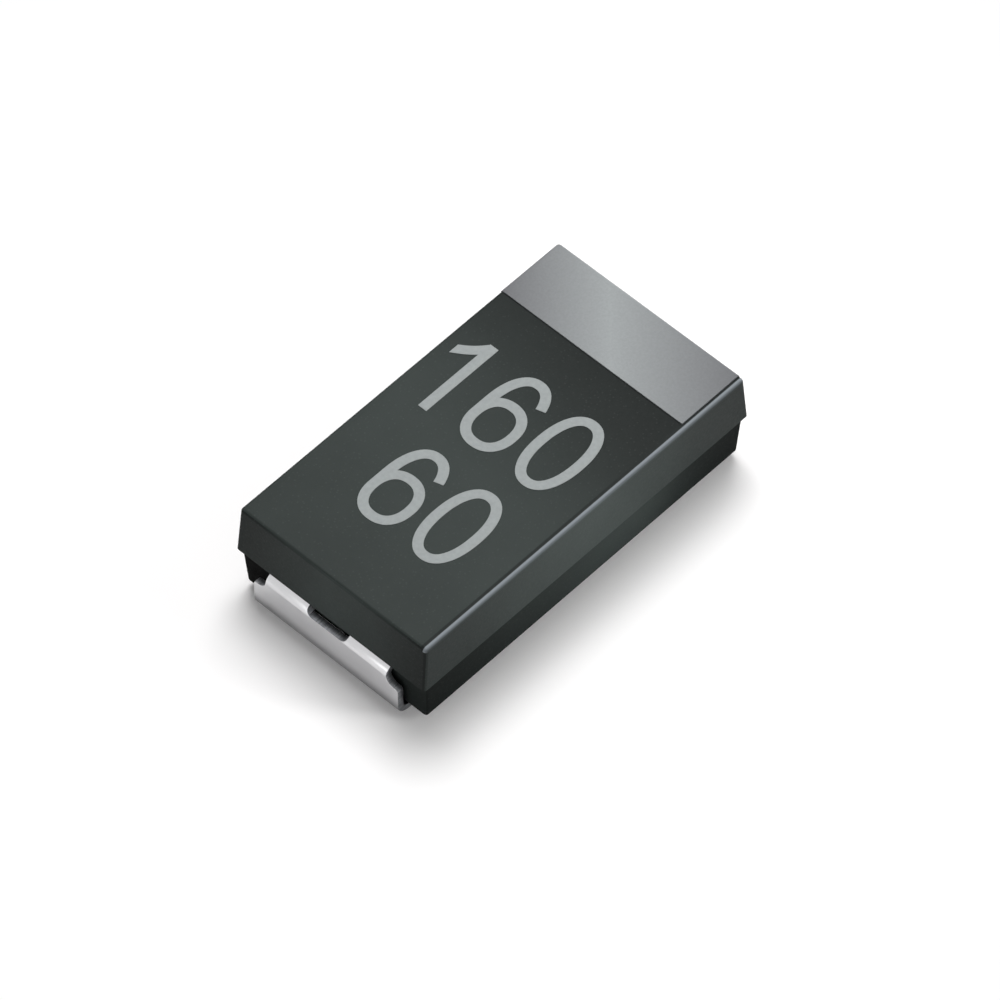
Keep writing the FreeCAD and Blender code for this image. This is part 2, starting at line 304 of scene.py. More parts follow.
def tin_plating(settings):
    """Matte tin on rolled strip. The eye gets a soft white sheen with a fine crystal grain, faint
    lines along the rolling direction, and a painted grey shade: on the plate, a little round the
    upper bend and most of all round the lower one."""
    made, tree = material("matte_tin_plating")
    place = add(tree, "ShaderNodeTexCoord", out="Object")
    mirrored = add(tree, "ShaderNodeVectorMath", {0: place}, operation="ABSOLUTE")
    depth = add(tree, "ShaderNodeSeparateXYZ", {0: place}, out="Z")
    # Painted shade: the plate is painted greyer than the arms, a little more round the upper bend
    # and most of all round the lower one
    plate_top, arm_foot = PARTING - 0.14 * MM, PARTING - 0.04 * MM
    drawn = add(tree, "ShaderNodeMapRange", {
        "Value": depth, "From Min": plate_top, "From Max": arm_foot, "To Min": 0.66, "To Max": 1.0},
        interpolation_type="SMOOTHSTEP")
    for height, near, far, shade in ((0.0, 0.09, 0.38, 0.36), (PARTING, 0.05, 0.15, 0.80)):
        bend = add(tree, "ShaderNodeVectorMath", {0: mirrored, 1: (STRIP_HIGH.x, 0.0, height)},
                   operation="SUBTRACT")
        bend = add(tree, "ShaderNodeVectorMath", {0: bend, 1: (1.0, 0.0, 1.0)},
                   operation="MULTIPLY")
        bend = add(tree, "ShaderNodeVectorMath", {0: bend}, out="Value", operation="LENGTH")
        bend = add(tree, "ShaderNodeMapRange", {
            "Value": bend, "From Min": near * MM, "From Max": far * MM, "To Min": shade},
            interpolation_type="SMOOTHSTEP")
        drawn = add(tree, "ShaderNodeMath", {0: bend, 1: drawn}, operation="MULTIPLY")
    grain = add(tree, "ShaderNodeTexNoise", {
        "Vector": place, "Scale": per(0.02), "Detail": 3.0, "Roughness": 0.6})
    rolled = add(tree, "ShaderNodeMapping", {"Vector": place, "Scale": (0.05, 1.0, 0.05)})
    rolled = add(tree, "ShaderNodeTexNoise", {"Vector": rolled, "Scale": per(0.03), "Detail": 2.0})
    height = add(tree, "ShaderNodeMix", {0: 0.5, 2: grain, 3: rolled}, data_type="FLOAT")
    normal = add(tree, "ShaderNodeBump", {
        "Strength": 0.03, "Distance": 0.001 * MM, "Height": height})
    rough = add(tree, "ShaderNodeMapRange", {
        "Value": height, "From Min": 0.3, "From Max": 0.7, "To Min": 0.28, "To Max": 0.33})
    stain_and_painted_shade = add(tree, "ShaderNodeTexNoise", {"Vector": place, "Scale": per(0.5), "Detail": 3.0})
    stain_and_painted_shade = add(tree, "ShaderNodeMapRange", {
        "Value": stain_and_painted_shade, "From Min": 0.35, "From Max": 0.65, "To Min": 0.94, "To Max": 1.0})
    stain_and_painted_shade = add(tree, "ShaderNodeMath", {0: stain_and_painted_shade, 1: drawn}, operation="MULTIPLY")
    colour = add(tree, "ShaderNodeMix", {0: 1.0, 6: (*settings.tin, 1.0), 7: stain_and_painted_shade}, **MULTIPLIED)
    shader = add(tree, "ShaderNodeBsdfPrincipled", {
        "Base Color": colour, "Metallic": 1.0, "Roughness": rough, "Normal": normal})
    add(tree, "ShaderNodeOutputMaterial", {"Surface": shader})
    return made


def sheared_edge(settings):
    """The strip's cut edge under thin tin. The eye gets a greyer, rougher metal with faint streaks
    across the thickness, which the punch leaves."""
    made, tree = material("sheared_strip_edge")
    place = add(tree, "ShaderNodeTexCoord", out="Object")
    streak = add(tree, "ShaderNodeMapping", {"Vector": place, "Scale": (0.15, 1.0, 1.0)})
    streak = add(tree, "ShaderNodeTexNoise", {"Vector": streak, "Scale": per(0.02), "Detail": 2.0})
    colour = add(tree, "ShaderNodeValToRGB", {"Fac": streak}, stops=[
        (0.3, opaque("#707275")), (0.7, opaque("#929497"))])
    normal = add(tree, "ShaderNodeBump", {
        "Strength": 0.2, "Distance": 0.003 * MM, "Height": streak})
    shader = add(tree, "ShaderNodeBsdfPrincipled", {
        "Base Color": colour, "Metallic": 1.0, "Roughness": 0.48, "Normal": normal})
    add(tree, "ShaderNodeOutputMaterial", {"Surface": shader})
    return made


def band_ink(settings):
    """Silver-grey printing ink. The eye gets a soft slanting painted sheen, pale near the middle of
    its run and deeper towards both ends, over the case's own grain."""
    made, tree = material("silver_grey_printing_ink")
    place = add(tree, "ShaderNodeTexCoord", out="Object")
    # Painted sheen: a slanting run across the band, pale near its middle and deeper at both ends
    painted_sheen_run = add(tree, "ShaderNodeVectorMath", {0: place, 1: (0.686, -0.728, 0.0)}, out="Value",
                operation="DOT_PRODUCT")
    painted_sheen_run = add(tree, "ShaderNodeMapRange", {
        "Value": painted_sheen_run, "From Min": 0.09 * MM, "From Max": 3.1 * MM})
    pale, deep = (*settings.band_painted_sheen, 1.0), (*settings.band_beside_sheen, 1.0)
    colour = add(tree, "ShaderNodeValToRGB", {"Fac": painted_sheen_run}, stops=[
        (0.0, deep), (0.45, pale), (1.0, deep)])
    flake = add(tree, "ShaderNodeTexNoise", {"Vector": place, "Scale": per(0.03), "Detail": 2.0})
    shade = add(tree, "ShaderNodeMapRange", {
        "Value": flake, "From Min": 0.3, "From Max": 0.7, "To Min": 0.96, "To Max": 1.04})
    colour = add(tree, "ShaderNodeMix", {0: 1.0, 6: colour, 7: shade}, **MULTIPLIED)
    normal = add(tree, "ShaderNodeBump", {"Strength": 0.3, "Distance": 0.002 * MM, "Height": flake})
    shader = add(tree, "ShaderNodeBsdfPrincipled", {
        "Base Color": colour, "Roughness": 0.5, "Specular IOR Level": 0.15, "Normal": normal})
    add(tree, "ShaderNodeOutputMaterial", {"Surface": shader})
    return made


def numeral_ink(settings):
    """Pale grey printing ink. The eye gets a flat, slightly mottled grey that follows the grain."""
    made, tree = material("pale_grey_printing_ink")
    place = add(tree, "ShaderNodeTexCoord", out="Object")
    mottle = add(tree, "ShaderNodeTexNoise", {"Vector": place, "Scale": per(0.06), "Detail": 3.0})
    shade = add(tree, "ShaderNodeMapRange", {
        "Value": mottle, "From Min": 0.3, "From Max": 0.7, "To Min": 0.93, "To Max": 1.04})
    colour = (*settings.numeral, 1.0)
    colour = add(tree, "ShaderNodeMix", {0: 1.0, 6: colour, 7: shade}, **MULTIPLIED)
    grain = add(tree, "ShaderNodeTexNoise", {"Vector": place, "Scale": per(0.035), "Detail": 2.0})
    normal = add(tree, "ShaderNodeBump", {"Strength": 0.3, "Distance": 0.002 * MM, "Height": grain})
    shader = add(tree, "ShaderNodeBsdfPrincipled", {
        "Base Color": colour, "Roughness": 0.55, "Specular IOR Level": 0.15, "Normal": normal})
    add(tree, "ShaderNodeOutputMaterial", {"Surface": shader})
    return made


def inner_finish(name, dark, light, grain, stretch, metallic, roughness, bump):
    """A granular or drawn surface between two colours, for what the case hides."""
    made, tree = material(name)
    place = add(tree, "ShaderNodeTexCoord", out="Object")
    place = add(tree, "ShaderNodeMapping", {"Vector": place, "Scale": stretch})
    pattern = add(tree, "ShaderNodeTexNoise", {
        "Vector": place, "Scale": per(grain), "Detail": 4.0, "Roughness": 0.6})
    colour = add(tree, "ShaderNodeValToRGB", {"Fac": pattern}, stops=[
        (0.3, opaque(dark)), (0.7, opaque(light))])
    rough = add(tree, "ShaderNodeMapRange", {
        "Value": pattern, "From Min": 0.3, "From Max": 0.7,
        "To Min": roughness - 0.08, "To Max": roughness + 0.08})
    normal = add(tree, "ShaderNodeBump", {
        "Strength": 0.5, "Distance": bump * MM, "Height": pattern})
    shader = add(tree, "ShaderNodeBsdfPrincipled", {
        "Base Color": colour, "Metallic": metallic, "Roughness": roughness if metallic else rough,
        "Normal": normal})
    add(tree, "ShaderNodeOutputMaterial", {"Surface": shader})
    return made


# Mesh work

def merged_copy(name, source):
    """A merged copy of a CAD node's loose triangles, smooth but for its true edges."""
    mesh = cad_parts[source].data.copy()
    mesh.name = name
    mesh.materials.clear()
    work = bmesh.new()
    work.from_mesh(mesh)
    bmesh.ops.remove_doubles(work, verts=work.verts, dist=MERGING)
    bmesh.ops.dissolve_degenerate(work, edges=work.edges, dist=MERGING)
    work.to_mesh(mesh)
    work.free()
    if "custom_normal" in mesh.attributes:
        mesh.attributes.remove(mesh.attributes["custom_normal"])
    mesh.shade_smooth()
    mesh.set_sharp_from_angle(angle=math.radians(32))
    return flat_shaded(name, placed(name, mesh))


def flat_shaded(name, piece):
    """Keeps broad faces flat beside their rounded edges."""
    weighting = piece.modifiers.new("Flat broad faces", "WEIGHTED_NORMAL")
    weighting.keep_sharp = True
    return evaluated(name, piece)


def settle(piece, replaced):
    """Hands a finished piece to the frame."""
    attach(piece, "root")
    if replaced:
        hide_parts(replaced)


def evaluated(name, source):
    """A plain mesh object from an object with modifiers, which is then removed."""
    graph = bpy.context.evaluated_depsgraph_get()
    mesh = bpy.data.meshes.new_from_object(source.evaluated_get(graph), depsgraph=graph)
    mesh.name = name
    bpy.data.objects.remove(source)
    return placed(name, mesh)


# Geometry nodes

def open_tree(name, inputs):
    """Empty tree with a geometry input and output, and named inputs as (name, socket type)."""
    tree = bpy.data.node_groups.new(name, "GeometryNodeTree")
    tree.interface.new_socket("Geometry", in_out="INPUT", socket_type="NodeSocketGeometry")
    tree.interface.new_socket("Geometry", in_out="OUTPUT", socket_type="NodeSocketGeometry")
    for label, kind in inputs:
        tree.interface.new_socket(label, in_out="INPUT", socket_type=kind)
    return tree, add(tree, "NodeGroupInput").node.outputs


def run_tree(tree, source, values):
    """Puts the tree on an object with its inputs set by identifier."""
    modifier = source.modifiers.new(tree.name, "NODES")
    modifier.node_group = tree
    for item in tree.interface.items_tree:
        if item.in_out == "INPUT" and item.name in values:
            modifier[item.identifier] = values[item.name]


def rounded_line(tree, corners, closed, steps):
    """Curve through (x, y, radius) corners, each rounded to its own radius."""
    line = add(tree, "GeometryNodeMeshLine", {"Count": len(corners)})
    index = add(tree, "GeometryNodeInputIndex")
    place = add(tree, "GeometryNodeIndexSwitch", data_type="VECTOR").node
    rounding = add(tree, "GeometryNodeIndexSwitch", data_type="FLOAT").node
    for switch in (place, rounding):
        while len(switch.index_switch_items) < len(corners):
            switch.index_switch_items.new()
        tree.links.new(index, switch.inputs["Index"])
    for number, (x, y, radius) in enumerate(corners, 1):
        tree.links.new(add(tree, "ShaderNodeCombineXYZ", {"X": x, "Y": y}), place.inputs[number])
        if radius is not None:
            tree.links.new(radius, rounding.inputs[number])
    line = add(tree, "GeometryNodeSetPosition", {"Geometry": line, "Position": place.outputs[0]})
    line = add(tree, "GeometryNodeMeshToCurve", {"Mesh": line})
    line = add(tree, "GeometryNodeSetSplineCyclic", {"Geometry": line, "Cyclic": closed})
    return add(tree, "GeometryNodeFilletCurve", {
        "Curve": line, "Count": steps, "Radius": rounding.outputs[0]}, mode="POLY")


def both_sides(tree, corners):
    """(station, half width, radius) corners along one side of an outline and back on the other."""
    outline = []
    for sign in (1.0, -1.0):
        for station, half, radius in corners[::int(sign)]:
            side = add(tree, "ShaderNodeMath", {0: half, 1: sign}, operation="MULTIPLY")
            outline.append((station, side, radius))
    return outline


def cutter(tree, outline, length, turn, move):
    """Closed prism from an outline in the XY plane, raised along Z, then turned and moved. Its
    faces are marked, so that what they cut can be told from the rolled faces."""
    floor = add(tree, "GeometryNodeFillCurve", {"Curve": outline}, mode="NGONS")
    rise = add(tree, "ShaderNodeCombineXYZ", {"Z": length})
    body = add(tree, "GeometryNodeExtrudeMesh", {
        "Mesh": floor, "Offset": rise, "Individual": False})
    lid = add(tree, "GeometryNodeFlipFaces", {"Mesh": floor})
    body = add(tree, "GeometryNodeJoinGeometry", {0: [body, lid]})
    body = add(tree, "GeometryNodeMergeByDistance", {"Geometry": body, "Distance": MERGING / 2})
    body = add(tree, "GeometryNodeTransform", {
        "Geometry": body, "Rotation": turn, "Translation": move})
    return add(tree, "GeometryNodeStoreNamedAttribute", {
        "Geometry": body, "Name": "cut", "Value": True}, data_type="BOOLEAN", domain="FACE")


def bent_sheet(tree, path, width, thickness):
    """Sheet swept along a path in the XY plane, stood up so that the path runs in the XZ plane."""
    section = add(tree, "GeometryNodeCurvePrimitiveQuadrilateral", {
        "Width": thickness, "Height": width})
    sheet = add(tree, "GeometryNodeCurveToMesh", {
        "Curve": path, "Profile Curve": section, "Fill Caps": True})
    return add(tree, "GeometryNodeTransform", {
        "Geometry": sheet, "Rotation": (math.pi / 2, 0.0, 0.0)})


def terminal_tree(jogged):
    """Terminal at the +X end: sheet bent along its path, then cut to its outline from the front and
    in plan, outside and inside the case."""
    sizes = [
        "Thickness", "Outside", "Parting Height", "Plate Half Width", "Neck Half Width",
        "Slot Half Width", "Shoulder Height", "Slot Height", "Flare Radius", "Shoulder Radius",
        "Slot Radius", "Upper Bend Radius", "Lower Bend Radius", "Foot End", "Foot Corner",
        "Web Station", "Root Station", "Root Radius", "Tongue End", "Tongue Half Width",
    ]
    if jogged:
        sizes += ["Jog Foot Station", "Jog Drop", "Jog Bend Radius"]
    inputs = [(name, "NodeSocketFloat") for name in sizes]
    inputs += [("Rolled Face", "NodeSocketMaterial"), ("Cut Edge", "NodeSocketMaterial")]
    tree, given = open_tree("Formed terminal" + (" with jog" if jogged else ""), inputs)
    thickness, outside, parting = given["Thickness"], given["Outside"], given["Parting Height"]
    plate, neck, slot = (
        given["Plate Half Width"], given["Neck Half Width"], given["Slot Half Width"])
    web, root, tip = given["Web Station"], given["Root Station"], given["Tongue End"]
    half_strip = add(tree, "ShaderNodeMath", {0: thickness, 1: 0.5}, operation="MULTIPLY")
    arm_height = add(tree, "ShaderNodeMath", {0: parting, 1: half_strip}, operation="SUBTRACT")
    plate_station = add(tree, "ShaderNodeMath", {0: outside, 1: half_strip}, operation="SUBTRACT")

    # The sheet starts wider and longer than it ends up, and what cuts it reaches past it all round
    spare_foot = add(tree, "ShaderNodeMath", {0: given["Foot End"], 1: thickness},
                     operation="SUBTRACT")
    spare_width = add(tree, "ShaderNodeMath", {0: plate, 1: 2.4}, operation="MULTIPLY")
    beyond = add(tree, "ShaderNodeMath", {0: outside, 1: thickness}, operation="ADD")
    above = add(tree, "ShaderNodeMath", {0: parting, 1: thickness}, operation="ADD")
    below = add(tree, "ShaderNodeMath", {0: thickness, 1: -1.0}, operation="MULTIPLY")
    tall = add(tree, "ShaderNodeMath", {0: above, 1: thickness}, operation="ADD")
    tall = add(tree, "ShaderNodeMath", {0: tall, 1: thickness}, operation="ADD")
    start = add(tree, "ShaderNodeCombineXYZ", {"Z": below})
    flat, upright = (0.0, 0.0, 0.0), (math.pi / 2, 0.0, math.pi / 2)

    # Outside: arms, plate and foot
    path = rounded_line(tree, [
        (web, arm_height, None), (plate_station, arm_height, given["Upper Bend Radius"]),
        (plate_station, half_strip, given["Lower Bend Radius"]), (spare_foot, half_strip, None),
    ], closed=False, steps=12)
    outer = bent_sheet(tree, path, spare_width, thickness)
    front = both_sides(tree, [
        (below, plate, None), (given["Shoulder Height"], plate, given["Shoulder Radius"]),
        (given["Shoulder Height"], neck, given["Flare Radius"]), (above, neck, None),
        (above, slot, None), (given["Slot Height"], slot, given["Slot Radius"]),
    ])
    front = rounded_line(tree, [(side, height, radius) for height, side, radius in front],
                         closed=True, steps=8)
    front = cutter(tree, front, beyond, upright, (0.0, 0.0, 0.0))
    foot = both_sides(tree, [
        (given["Foot End"], plate, given["Foot Corner"]), (beyond, plate, None)])
    foot = rounded_line(tree, foot, closed=True, steps=8)
    foot = cutter(tree, foot, tall, flat, start)
    outer = add(tree, "GeometryNodeMeshBoolean", {"Mesh 2": [outer, front, foot]},
                operation="INTERSECT", solver="EXACT")

    # Inside: web and tongue
    if jogged:
        jog = given["Jog Bend Radius"]
        tongue_height = add(tree, "ShaderNodeMath", {0: arm_height, 1: given["Jog Drop"]},
                            operation="SUBTRACT")
        path = rounded_line(tree, [
            (web, arm_height, None), (root, arm_height, jog),
            (given["Jog Foot Station"], tongue_height, jog), (tip, tongue_height, None),
        ], closed=False, steps=8)
    else:
        path = rounded_line(tree, [(web, arm_height, None), (tip, arm_height, None)],
                            closed=False, steps=1)
    inner = bent_sheet(tree, path, spare_width, thickness)
    tongue = both_sides(tree, [
        (web, neck, None), (root, neck, None),
        (root, given["Tongue Half Width"], given["Root Radius"]),
        (tip, given["Tongue Half Width"], None),
    ])
    tongue = rounded_line(tree, tongue, closed=True, steps=6)
    tongue = cutter(tree, tongue, tall, flat, start)
    inner = add(tree, "GeometryNodeMeshBoolean", {"Mesh 2": [inner, tongue]},
                operation="INTERSECT", solver="EXACT")
    whole = add(tree, "GeometryNodeMeshBoolean", {"Mesh 2": [outer, inner]},
                operation="UNION", solver="EXACT")
    if jogged:
        whole = add(tree, "GeometryNodeTransform", {
            "Geometry": whole, "Rotation": (0.0, 0.0, math.pi)})
    whole = add(tree, "GeometryNodeRealizeInstances", {"Geometry": whole})
    cut = add(tree, "GeometryNodeInputNamedAttribute", {"Name": "cut"}, data_type="BOOLEAN")
    whole = add(tree, "GeometryNodeSetMaterial", {
        "Geometry": whole, "Material": given["Rolled Face"]})
    whole = add(tree, "GeometryNodeSetMaterial", {
        "Geometry": whole, "Selection": cut, "Material": given["Cut Edge"]})
    add(tree, "NodeGroupOutput", {0: whole})
    return tree


def squared(tree, arc, radii, squareness):
    """A unit arc pressed to its semi-axes, a little squarer than an ellipse."""
    place = add(tree, "GeometryNodeInputPosition")
    reach = add(tree, "ShaderNodeVectorMath", {0: place}, operation="ABSOLUTE")
    reach = add(tree, "ShaderNodeVectorMath", {0: reach, 1: squareness}, operation="POWER")
    reach = add(tree, "ShaderNodeVectorMath", {0: reach, 1: (1.0, 1.0, 0.0)}, out="Value",
                operation="DOT_PRODUCT")
    root = add(tree, "ShaderNodeMath", {0: -1.0, 1: squareness}, operation="DIVIDE")
    reach = add(tree, "ShaderNodeMath", {0: reach, 1: root}, operation="POWER")
    place = add(tree, "ShaderNodeVectorMath", {0: place, "Scale": reach}, operation="SCALE")
    place = add(tree, "ShaderNodeVectorMath", {0: place, 1: radii}, operation="MULTIPLY")
    return add(tree, "GeometryNodeSetPosition", {"Geometry": arc, "Position": place})


def numeral_tree():
    """Plain numerals in two lines, a one and two pairs of six and zero: strokes of ink swept along
    their middle lines, in the print's own axes, then turned to read across the case."""
    inputs = [(name, "NodeSocketFloat") for name in (
        "Cap Height", "Stroke Width", "Ink Thickness", "Face Height", "Squareness")]
    inputs += [(name, "NodeSocketVector") for name in (
        "Digit Radii", "Bowl Radii", "Hook Radii", "Bowl Middle", "Hook Middle", "Zero Middle",
        "Flag Start", "Flag Bend", "Flag Lift", "Flag End", "Flag Room", "One", "Pair",
        "Line Step")]
    tree, given = open_tree("Printed numerals", inputs + [("Ink", "NodeSocketMaterial")])
    section = add(tree, "GeometryNodeCurvePrimitiveQuadrilateral", {
        "Width": given["Stroke Width"], "Height": given["Ink Thickness"]})

    def stroke(line, place):
        line = add(tree, "GeometryNodeSetCurveNormal", {"Curve": line}, mode="Z_UP")
        line = add(tree, "GeometryNodeTransform", {"Geometry": line, "Translation": place})
        return add(tree, "GeometryNodeCurveToMesh", {
            "Curve": line, "Profile Curve": section, "Fill Caps": True})

    # One: a stem, and a flag that curves down from its top and is cut off level with it
    top = add(tree, "ShaderNodeCombineXYZ", {"Y": given["Cap Height"]})
    stem = stroke(add(tree, "GeometryNodeCurvePrimitiveLine", {"End": top}), (0.0, 0.0, 0.0))
    flag = add(tree, "GeometryNodeCurvePrimitiveBezierSegment", {
        "Resolution": 12, "Start": given["Flag Start"], "Start Handle": given["Flag Bend"],
        "End Handle": given["Flag Lift"], "End": given["Flag End"]}, mode="OFFSET")
    middle = add(tree, "ShaderNodeVectorMath", {0: top, 1: (0.5, 0.5, 0.5)}, operation="MULTIPLY")
    block = add(tree, "GeometryNodeMeshCube", {"Size": given["Flag Room"]})
    block = add(tree, "GeometryNodeTransform", {"Geometry": block, "Translation": middle})
    flag = add(tree, "GeometryNodeMeshBoolean", {"Mesh 2": [stroke(flag, (0.0, 0.0, 0.0)), block]},
               operation="INTERSECT", solver="EXACT")
    one = add(tree, "GeometryNodeMeshBoolean", {"Mesh 2": [stem, flag]},
              operation="UNION", solver="EXACT")
    one = add(tree, "GeometryNodeTransform", {"Geometry": one, "Translation": given["One"]})

    # Six: a bowl, a hook over it, and the straight stretch between them
    bowl = add(tree, "GeometryNodeCurvePrimitiveCircle", {"Resolution": 56, "Radius": 1.0})
    bowl = squared(tree, bowl, given["Bowl Radii"], given["Squareness"])
    hook = add(tree, "GeometryNodeCurveArc", {
        "Resolution": 32, "Radius": 1.0, "Start Angle": math.radians(30),
        "Sweep Angle": math.radians(150)}, mode="RADIUS")
    hook = squared(tree, hook, given["Hook Radii"], given["Squareness"])
    side = add(tree, "ShaderNodeVectorMath", {0: given["Bowl Radii"], 1: (-1.0, 0.0, 0.0)},
               operation="MULTIPLY")
    bottom = add(tree, "ShaderNodeVectorMath", {0: side, 1: given["Bowl Middle"]}, operation="ADD")
    side = add(tree, "ShaderNodeVectorMath", {0: side, 1: given["Hook Middle"]}, operation="ADD")
    side = add(tree, "GeometryNodeCurvePrimitiveLine", {"Start": bottom, "End": side})
    six = add(tree, "GeometryNodeMeshBoolean", {"Mesh 2": [
        stroke(bowl, given["Bowl Middle"]), stroke(hook, given["Hook Middle"]),
        stroke(side, (0.0, 0.0, 0.0))]}, operation="UNION", solver="EXACT")

    # Zero: a ring beside the six, and the pair of them repeated on the line below
    ring = add(tree, "GeometryNodeCurvePrimitiveCircle", {"Resolution": 64, "Radius": 1.0})
    ring = squared(tree, ring, given["Digit Radii"], given["Squareness"])
    pair = add(tree, "GeometryNodeJoinGeometry", {0: [six, stroke(ring, given["Zero Middle"])]})
    lines = add(tree, "GeometryNodeMeshLine", {
        "Count": 2, "Start Location": given["Pair"], "Offset": given["Line Step"]})
    pairs = add(tree, "GeometryNodeInstanceOnPoints", {"Points": lines, "Instance": pair})
    whole = add(tree, "GeometryNodeJoinGeometry", {0: [one, pairs]})
    lift = add(tree, "ShaderNodeCombineXYZ", {"Z": given["Face Height"]})
    whole = add(tree, "GeometryNodeTransform", {
        "Geometry": whole, "Rotation": (0.0, 0.0, -math.pi / 2), "Translation": lift})
    whole = add(tree, "GeometryNodeRealizeInstances", {"Geometry": whole})
    whole = add(tree, "GeometryNodeSetShadeSmooth", {"Geometry": whole, "Shade Smooth": False})
    whole = add(tree, "GeometryNodeSetMaterial", {"Geometry": whole, "Material": given["Ink"]})
    add(tree, "NodeGroupOutput", {0: whole})
    return tree


# Operators

class CAPACITOR_OT_case(bpy.types.Operator):
    """Give the moulded case its smooth edges and its compound"""
    bl_idname = "capacitor.case"
    bl_label = "Moulded case"

    def execute(self, context):
        piece = merged_copy("case_moulding", "moulded_case")
        piece.data.materials.append(moulding_compound(context.scene.capacitor_case))
        settle(piece, "moulded_case")
        return {"FINISHED"}


class CAPACITOR_OT_terminals(bpy.types.Operator):
    """Form both terminals from strip"""
    bl_idname = "capacitor.terminals"
    bl_label = "Formed terminals"

    def execute(self, context):
        sizes = context.scene.capacitor_terminals
        neck = sizes.arm_width + sizes.slot_width / 2
        shared = {
            "Thickness": sizes.thickness,
            "Outside": STRIP_HIGH.x,
            "Parting Height": PARTING,
            "Plate Half Width": STRIP_HIGH.y,
            "Neck Half Width": neck,
            "Slot Half Width": sizes.slot_width / 2,
            "Shoulder Height": PARTING - sizes.neck_depth,
            "Slot Height": PARTING - sizes.slot_depth,
            "Flare Radius": sizes.flare,
            "Shoulder Radius": sizes.shoulder_corner,
            "Slot Radius": sizes.slot_corner,
            "Upper Bend Radius": sizes.upper_bend,
            "Lower Bend Radius": sizes.lower_bend,
            "Foot End": STRIP_HIGH.x - sizes.foot_length,
            "Foot Corner": sizes.foot_corner,
            "Web Station": sizes.web_station,
            "Root Station": sizes.root_station,
            "Root Radius": sizes.root_radius,
            "Rolled Face": tin_plating(sizes),
            "Cut Edge": sheared_edge(sizes),
        }
        ends = [
            ("anode_strip", "anode_terminal", False, {
                "Tongue End": STRIP_LOW.x, "Tongue Half Width": sizes.anode_tongue / 2}),
            ("cathode_strip", "cathode_terminal", True, {
                "Tongue End": TONGUE_END, "Tongue Half Width": sizes.cathode_tongue / 2,
                "Jog Foot Station": sizes.root_station - sizes.jog_run, "Jog Drop": sizes.jog_drop,
                "Jog Bend Radius": sizes.jog_bend}),
        ]
        for name, node, jogged, own in ends:
            source = placed(name + "_source", bpy.data.meshes.new(name + "_source"))
            run_tree(terminal_tree(jogged), source, {**shared, **own})
            piece = evaluated(name, source)
            rounding = piece.modifiers.new("Edge rounding", "BEVEL")
            rounding.width = sizes.burr
            rounding.segments = 2
            rounding.limit_method = "ANGLE"
            rounding.angle_limit = math.radians(50)
            rounding.use_clamp_overlap = False
            rounding.harden_normals = False
            piece = evaluated(name, piece)
            piece.data.shade_smooth()
            piece.data.set_sharp_from_angle(angle=math.radians(40))
            settle(flat_shaded(name, piece), node)
        return {"FINISHED"}


class CAPACITOR_OT_band(bpy.types.Operator):
    """Print the grey polarity band"""
    bl_idname = "capacitor.band"
    bl_label = "Polarity band"

    def execute(self, context):
        piece = merged_copy("band_print", "polarity_band")
        piece.data.materials.append(band_ink(context.scene.capacitor_print))
        settle(piece, "polarity_band")
        return {"FINISHED"}


class CAPACITOR_OT_numerals(bpy.types.Operator):
    """Print plain numerals in two lines across the case"""
    bl_idname = "capacitor.numerals"
    bl_label = "Numerals"

    def execute(self, context):
        sizes = context.scene.capacitor_print
        cap, stroke = sizes.cap_height, sizes.stroke
        digit_x = (sizes.digit_width - stroke) / 2
        digit_y = cap / 2 + sizes.overshoot - stroke / 2
        bowl_y = (sizes.bowl_height - stroke) / 2
        bowl_middle = bowl_y + stroke / 2 - sizes.overshoot
        hook_middle = 0.515 * cap
        sunk = 0.1 * sizes.ink
        one = sizes.margin - 0.92 * sizes.advance    # a one is narrow, so it stands a little closer
        source = placed("numerals_source", bpy.data.meshes.new("numerals_source"))
        run_tree(numeral_tree(), source, {
            "Cap Height": cap,
            "Stroke Width": stroke,
            "Ink Thickness": sizes.ink,
            "Face Height": CASE_HIGH.z + sizes.ink / 2 - sunk,
            "Squareness": sizes.squareness,
            "Digit Radii": (digit_x, digit_y, 0.0),
            "Bowl Radii": (digit_x, bowl_y, 0.0),
            "Hook Radii": (digit_x, cap / 2 + digit_y - hook_middle, 0.0),
            "Bowl Middle": (0.0, bowl_middle, 0.0),
            "Hook Middle": (0.0, hook_middle, 0.0),
            "Zero Middle": (sizes.advance, cap / 2, 0.0),
            "Flag Start": (-0.02 * MM, cap - 0.06 * MM, 0.0),
            "Flag Bend": (-0.12 * MM, -0.16 * MM, 0.0),
            "Flag Lift": (0.18 * MM, 0.10 * MM, 0.0),
            "Flag End": (-0.45 * MM, cap - 0.41 * MM, 0.0),
            "Flag Room": (0.72 * MM, cap, 0.72 * MM),
            "One": (one, sizes.baseline, 0.0),
            "Pair": (sizes.margin, sizes.baseline, 0.0),
            "Line Step": (-sizes.indent, -sizes.line_pitch, 0.0),
            "Ink": numeral_ink(sizes),
        })
        settle(evaluated("numerals_print", source), None)
        return {"FINISHED"}


